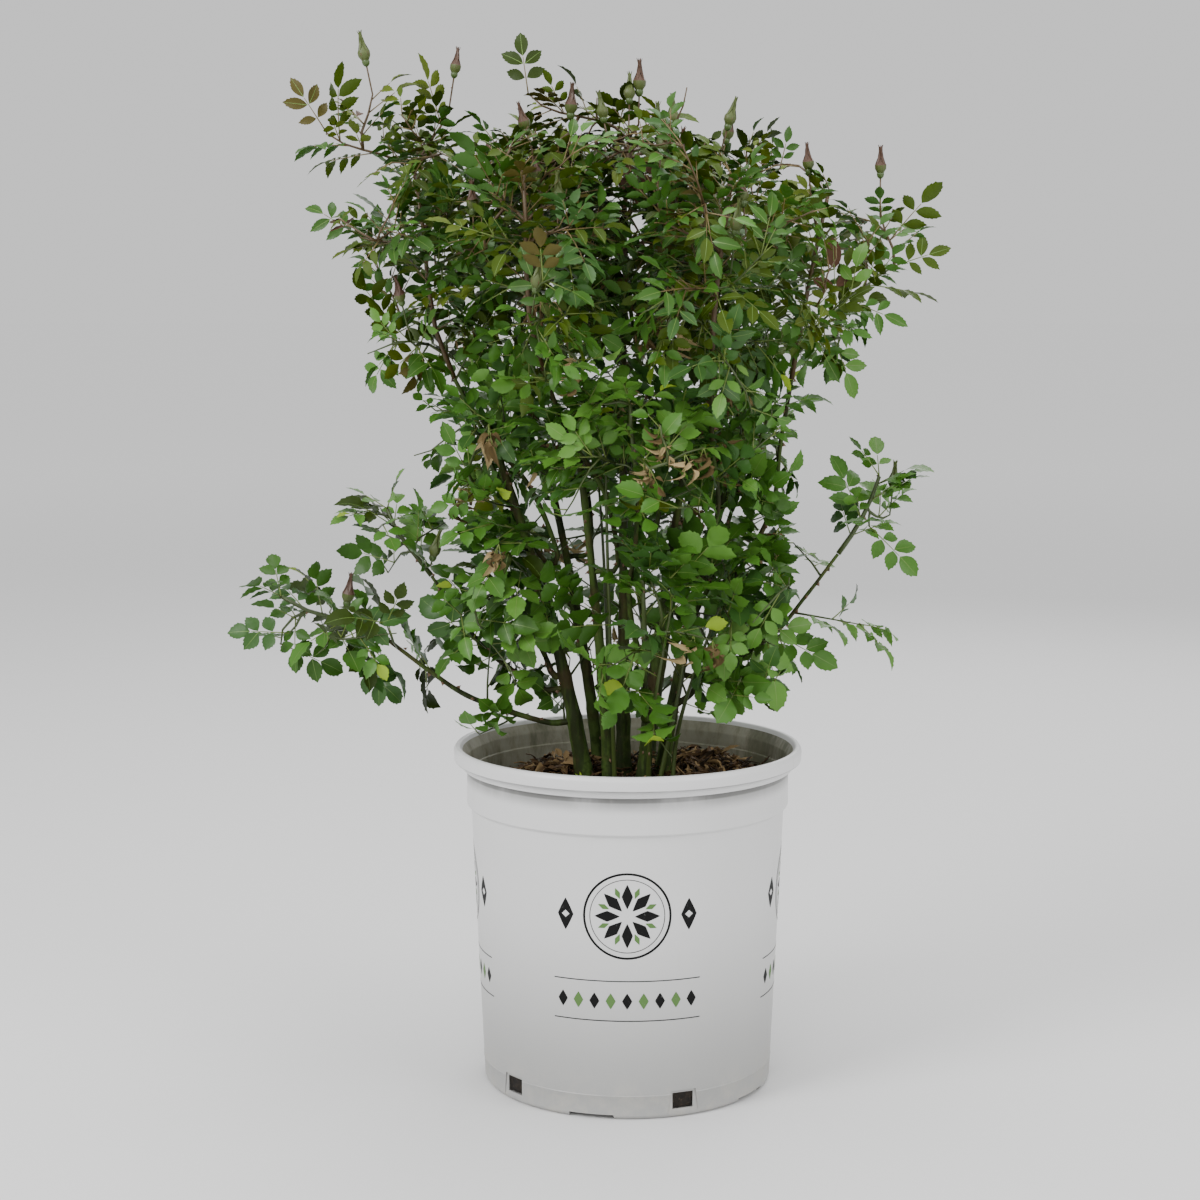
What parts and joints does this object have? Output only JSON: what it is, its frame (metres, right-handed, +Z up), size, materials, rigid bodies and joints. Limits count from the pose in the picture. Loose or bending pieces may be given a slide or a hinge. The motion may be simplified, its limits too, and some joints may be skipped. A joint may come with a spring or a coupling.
{
  "type": "potted shrub rose bush",
  "caption": "Leafy, open shrub rose with upright canes, slender boughs and small pointed buds, growing in a round white plastic nursery pot with a stepped collar and drain holes.",
  "frame": {"origin": "centre of the pot's flat underside, on the ground", "axes": "+Z up along the pot's axis; +X to the right seen from the front; +Y to the back; the side towards -Y is the front"},
  "size_m": [0.5348, 0.3891, 0.7762],
  "materials": {
    "pot_plastic": "semi-gloss white plastic",
    "potting_mix": "dark crumbly bark and peat",
    "cane_bark": "dark olive bark with prickles",
    "bough_bark": "olive to reddish brown bark",
    "foliage": "satin green leaves"
  },
  "bodies": {
    "root": {"bough_low_bough_end": "bough_bark", "bough_low_bough_shoots": "bough_bark", "bough_lower_back": "bough_bark", "bough_lower_front": "bough_bark", "bough_lower_left": "bough_bark", "bough_lower_right": "bough_bark", "bough_right_sprig": "bough_bark", "bough_upper_back_left": "bough_bark", "bough_upper_back_right": "bough_bark", "bough_upper_front_left": "bough_bark", "bough_upper_front_right": "bough_bark", "bough_upper_left": "bough_bark", "bough_upper_middle": "bough_bark", "bough_upper_right": "bough_bark", "bough_waist_back": "bough_bark", "bough_waist_front": "bough_bark", "bough_waist_left": "bough_bark", "bough_waist_right": "bough_bark", "cane_left": "cane_bark", "cane_left_back": "cane_bark", "cane_middle": "cane_bark", "cane_middle_left": "cane_bark", "cane_middle_right": "cane_bark", "cane_right": "cane_bark", "cane_right_back": "cane_bark", "foliage_low_bough_end": "foliage", "foliage_low_bough_shoots": "foliage", "foliage_lower_back": "foliage", "foliage_lower_front": "foliage", "foliage_lower_left": "foliage", "foliage_lower_right": "foliage", "foliage_right_sprig": "foliage", "foliage_upper_back_left": "foliage", "foliage_upper_back_right": "foliage", "foliage_upper_front_left": "foliage", "foliage_upper_front_right": "foliage", "foliage_upper_left": "foliage", "foliage_upper_middle": "foliage", "foliage_upper_right": "foliage", "foliage_waist_back": "foliage", "foliage_waist_front": "foliage", "foliage_waist_left": "foliage", "foliage_waist_right": "foliage", "pot": "pot_plastic", "soil": "potting_mix"}
  },
  "joints": []
}
